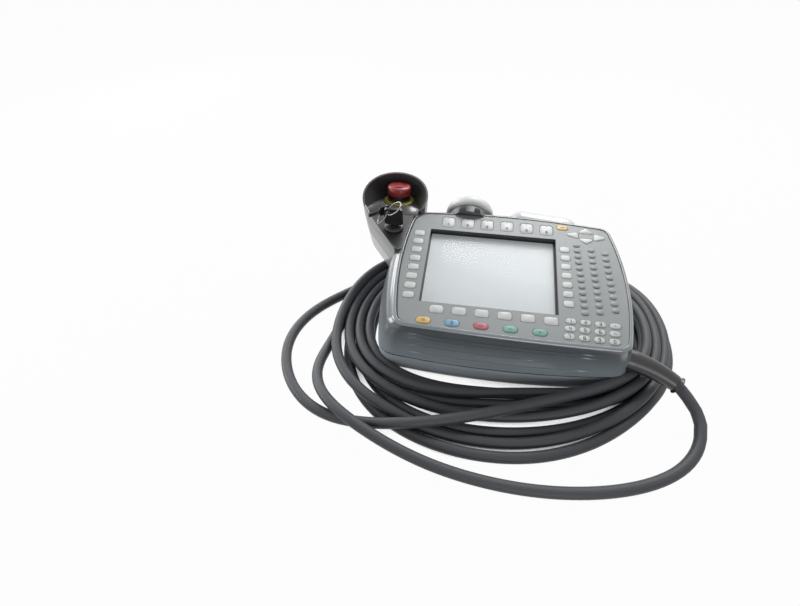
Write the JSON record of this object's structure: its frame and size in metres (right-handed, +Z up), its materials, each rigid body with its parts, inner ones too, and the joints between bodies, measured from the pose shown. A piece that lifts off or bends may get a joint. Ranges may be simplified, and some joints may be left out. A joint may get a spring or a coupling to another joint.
{
  "type": "teach pendant",
  "caption": "Hand-held robot teach pendant with a colour screen, keypad, guarded emergency stop, mode key, puck and a coiled lead with its plug.",
  "frame": {"origin": "centre of the terminal's bounding box in plan, on the surface that it stands on; the lead, its coil and its plug are left out of that box", "axes": "+X to the user's right along the keypad, +Y away from the user, +Z up; the panel leans 10 degrees towards the user"},
  "size_m": [0.5283, 0.4808, 0.1642],
  "materials": {
    "housing": "fine moulded grain, satin",
    "gasket": "matt",
    "overlay": "satin membrane film",
    "key_white": "satin",
    "key_yellow": "satin",
    "key_blue": "satin",
    "key_red": "satin",
    "key_green": "satin",
    "window": "anti-glare",
    "display": "pale switched-off panel",
    "board": "solder mask",
    "screw": "blackened",
    "lobe": "fine moulded grain",
    "lobe_cover": "satin film",
    "estop_red": "satin",
    "black_plastic": "satin",
    "estop_yellow": "matt",
    "key_metal": "nickel plated",
    "puck_light": "matt",
    "puck_dark": "matt",
    "switch_grey": "matt",
    "start_green": "matt",
    "cable": "matt jacket",
    "sleeve": "matt",
    "connector_metal": "satin nickel"
  },
  "bodies": {
    "housing": {"front_shell": "housing", "rear_shell": "housing", "shell_gasket": "gasket", "keypad_overlay": "overlay", "display_window": "window", "display_module": "display", "keypad_board": "board", "housing_screws": "screw", "control_housing": "lobe", "control_lid": "housing", "control_cover": "lobe_cover", "estop_ring": "estop_yellow", "estop_contact_block": "black_plastic", "mode_lock_body": "black_plastic", "puck_base": "puck_dark", "cable_gland": "black_plastic", "strain_relief": "sleeve", "control_cable": "cable", "cable_loose_turn": "cable", "cable_tail": "cable", "cable_coil": "cable", "cable_connector": "connector_metal"},
    "connector_ring": {"connector_ring": "connector_metal"},
    "estop_stem": {"estop_stem": "black_plastic"},
    "estop_cap": {"estop_cap": "estop_red"},
    "mode_lock_barrel": {"mode_lock_barrel": "key_metal"},
    "selector_key": {"selector_key": "black_plastic"},
    "key_ring": {"key_ring": "key_metal"},
    "spare_key": {"spare_key": "black_plastic"},
    "puck_carrier": {"puck_carrier": "puck_dark"},
    "puck_cap": {"puck_cap": "puck_light"},
    "enabling_switch_left": {"enabling_switch_left": "switch_grey"},
    "enabling_switch_middle": {"enabling_switch_middle": "switch_grey"},
    "enabling_switch_right": {"enabling_switch_right": "switch_grey"},
    "start_button": {"start_button": "start_green"},
    "enter_key": {"enter_key": "key_yellow"},
    "arrow_key_left": {"arrow_key_left": "key_white"},
    "arrow_key_up": {"arrow_key_up": "key_white"},
    "arrow_key_right": {"arrow_key_right": "key_white"},
    "arrow_key_down": {"arrow_key_down": "key_white"},
    "menu_key_1": {"menu_key_1": "key_white"},
    "menu_key_2": {"menu_key_2": "key_white"},
    "menu_key_3": {"menu_key_3": "key_white"},
    "menu_key_4": {"menu_key_4": "key_white"},
    "menu_key_5": {"menu_key_5": "key_white"},
    "menu_key_6": {"menu_key_6": "key_white"},
    "softkey_1": {"softkey_1": "key_white"},
    "softkey_2": {"softkey_2": "key_white"},
    "softkey_3": {"softkey_3": "key_white"},
    "softkey_4": {"softkey_4": "key_white"},
    "softkey_5": {"softkey_5": "key_white"},
    "softkey_6": {"softkey_6": "key_white"},
    "colour_key_1": {"colour_key_1": "key_yellow"},
    "colour_key_2": {"colour_key_2": "key_blue"},
    "colour_key_3": {"colour_key_3": "key_red"},
    "colour_key_4": {"colour_key_4": "key_green"},
    "colour_key_5": {"colour_key_5": "key_green"},
    "left_status_keys": {"left_status_keys": "key_white"},
    "right_status_keys": {"right_status_keys": "key_white"},
    "numeric_keys": {"numeric_keys": "key_white"}
  },
  "joints": [
    {"name": "enter_key_press", "type": "slide", "parent": "housing", "child": "enter_key", "axis": [0, 0.1736, -0.9848], "range_m": [0, 0.0008], "stiffness_N_per_m": 400},
    {"name": "arrow_key_left_press", "type": "slide", "parent": "housing", "child": "arrow_key_left", "axis": [0, 0.1736, -0.9848], "range_m": [0, 0.0008], "stiffness_N_per_m": 400},
    {"name": "arrow_key_up_press", "type": "slide", "parent": "housing", "child": "arrow_key_up", "axis": [0, 0.1736, -0.9848], "range_m": [0, 0.0008], "stiffness_N_per_m": 400},
    {"name": "arrow_key_right_press", "type": "slide", "parent": "housing", "child": "arrow_key_right", "axis": [0, 0.1736, -0.9848], "range_m": [0, 0.0008], "stiffness_N_per_m": 400},
    {"name": "arrow_key_down_press", "type": "slide", "parent": "housing", "child": "arrow_key_down", "axis": [0, 0.1736, -0.9848], "range_m": [0, 0.0008], "stiffness_N_per_m": 400},
    {"name": "menu_key_1_press", "type": "slide", "parent": "housing", "child": "menu_key_1", "axis": [0, 0.1736, -0.9848], "range_m": [0, 0.0008], "stiffness_N_per_m": 400},
    {"name": "menu_key_2_press", "type": "slide", "parent": "housing", "child": "menu_key_2", "axis": [0, 0.1736, -0.9848], "range_m": [0, 0.0008], "stiffness_N_per_m": 400},
    {"name": "menu_key_3_press", "type": "slide", "parent": "housing", "child": "menu_key_3", "axis": [0, 0.1736, -0.9848], "range_m": [0, 0.0008], "stiffness_N_per_m": 400},
    {"name": "menu_key_4_press", "type": "slide", "parent": "housing", "child": "menu_key_4", "axis": [0, 0.1736, -0.9848], "range_m": [0, 0.0008], "stiffness_N_per_m": 400},
    {"name": "menu_key_5_press", "type": "slide", "parent": "housing", "child": "menu_key_5", "axis": [0, 0.1736, -0.9848], "range_m": [0, 0.0008], "stiffness_N_per_m": 400},
    {"name": "menu_key_6_press", "type": "slide", "parent": "housing", "child": "menu_key_6", "axis": [0, 0.1736, -0.9848], "range_m": [0, 0.0008], "stiffness_N_per_m": 400},
    {"name": "softkey_1_press", "type": "slide", "parent": "housing", "child": "softkey_1", "axis": [0, 0.1736, -0.9848], "range_m": [0, 0.0008], "stiffness_N_per_m": 400},
    {"name": "softkey_2_press", "type": "slide", "parent": "housing", "child": "softkey_2", "axis": [0, 0.1736, -0.9848], "range_m": [0, 0.0008], "stiffness_N_per_m": 400},
    {"name": "softkey_3_press", "type": "slide", "parent": "housing", "child": "softkey_3", "axis": [0, 0.1736, -0.9848], "range_m": [0, 0.0008], "stiffness_N_per_m": 400},
    {"name": "softkey_4_press", "type": "slide", "parent": "housing", "child": "softkey_4", "axis": [0, 0.1736, -0.9848], "range_m": [0, 0.0008], "stiffness_N_per_m": 400},
    {"name": "softkey_5_press", "type": "slide", "parent": "housing", "child": "softkey_5", "axis": [0, 0.1736, -0.9848], "range_m": [0, 0.0008], "stiffness_N_per_m": 400},
    {"name": "softkey_6_press", "type": "slide", "parent": "housing", "child": "softkey_6", "axis": [0, 0.1736, -0.9848], "range_m": [0, 0.0008], "stiffness_N_per_m": 400},
    {"name": "colour_key_1_press", "type": "slide", "parent": "housing", "child": "colour_key_1", "axis": [0, 0.1736, -0.9848], "range_m": [0, 0.0008], "stiffness_N_per_m": 400},
    {"name": "colour_key_2_press", "type": "slide", "parent": "housing", "child": "colour_key_2", "axis": [0, 0.1736, -0.9848], "range_m": [0, 0.0008], "stiffness_N_per_m": 400},
    {"name": "colour_key_3_press", "type": "slide", "parent": "housing", "child": "colour_key_3", "axis": [0, 0.1736, -0.9848], "range_m": [0, 0.0008], "stiffness_N_per_m": 400},
    {"name": "colour_key_4_press", "type": "slide", "parent": "housing", "child": "colour_key_4", "axis": [0, 0.1736, -0.9848], "range_m": [0, 0.0008], "stiffness_N_per_m": 400},
    {"name": "colour_key_5_press", "type": "slide", "parent": "housing", "child": "colour_key_5", "axis": [0, 0.1736, -0.9848], "range_m": [0, 0.0008], "stiffness_N_per_m": 400},
    {"name": "left_status_keys_press", "type": "slide", "parent": "housing", "child": "left_status_keys", "axis": [0, 0.1736, -0.9848], "range_m": [0, 0.0008], "stiffness_N_per_m": 900},
    {"name": "right_status_keys_press", "type": "slide", "parent": "housing", "child": "right_status_keys", "axis": [0, 0.1736, -0.9848], "range_m": [0, 0.0008], "stiffness_N_per_m": 900},
    {"name": "numeric_keys_press", "type": "slide", "parent": "housing", "child": "numeric_keys", "axis": [0, 0.1736, -0.9848], "range_m": [0, 0.0008], "stiffness_N_per_m": 900},
    {"name": "estop_push", "type": "slide", "parent": "housing", "child": "estop_stem", "axis": [0, -0.1219, -0.9925], "range_m": [0, 0.004]},
    {"name": "estop_twist", "type": "hinge", "parent": "estop_stem", "child": "estop_cap", "pos_m": [-0.1343, 0.10282, 0.12268], "axis": [0, 0.1219, 0.9925], "range_deg": [0, 35], "stiffness_Nm_per_rad": 0.05},
    {"name": "mode_lock_turn", "type": "hinge", "parent": "housing", "child": "mode_lock_barrel", "pos_m": [-0.1288, 0.02745, 0.12398], "axis": [0, -0.1736, 0.9848], "range_deg": [-45, 45]},
    {"name": "selector_key_pull", "type": "slide", "parent": "mode_lock_barrel", "child": "selector_key", "axis": [0, -0.1736, 0.9848], "range_m": [0, 0.02]},
    {"name": "key_ring_swing", "type": "hinge", "parent": "selector_key", "child": "key_ring", "pos_m": [-0.1368, 0.02276, 0.15057], "axis": [0, 0.9848, 0.1736], "range_deg": [-8, 8]},
    {"name": "spare_key_swing", "type": "hinge", "parent": "key_ring", "child": "spare_key", "pos_m": [-0.14033, 0.03287, 0.14808], "axis": [0.6428, -0.133, 0.7544], "range_deg": [-6, 6]},
    {"name": "puck_shift", "type": "slide", "parent": "housing", "child": "puck_carrier", "axis": [0, 0.9848, 0.1736], "range_m": [-0.0015, 0.0015], "stiffness_N_per_m": 900},
    {"name": "puck_twist", "type": "hinge", "parent": "puck_carrier", "child": "puck_cap", "pos_m": [-0.0298, 0.08398, 0.10857], "axis": [0, 0.9848, 0.1736], "range_deg": [-8, 8], "stiffness_Nm_per_rad": 0.6},
    {"name": "enabling_left_press", "type": "slide", "parent": "housing", "child": "enabling_switch_left", "axis": [0, -0.1736, 0.9848], "range_m": [0, 0.003], "stiffness_N_per_m": 700},
    {"name": "enabling_middle_press", "type": "slide", "parent": "housing", "child": "enabling_switch_middle", "axis": [0, -0.1736, 0.9848], "range_m": [0, 0.003], "stiffness_N_per_m": 700},
    {"name": "enabling_right_press", "type": "slide", "parent": "housing", "child": "enabling_switch_right", "axis": [0, -0.1736, 0.9848], "range_m": [0, 0.003], "stiffness_N_per_m": 700},
    {"name": "start_press", "type": "slide", "parent": "housing", "child": "start_button", "axis": [0, -0.1736, 0.9848], "range_m": [0, 0.002], "stiffness_N_per_m": 500},
    {"name": "coupling_turn", "type": "hinge", "parent": "housing", "child": "connector_ring", "pos_m": [0.14, 0.19, 0.019], "axis": [1, 0, 0], "range_deg": [-60, 60]}
  ]
}
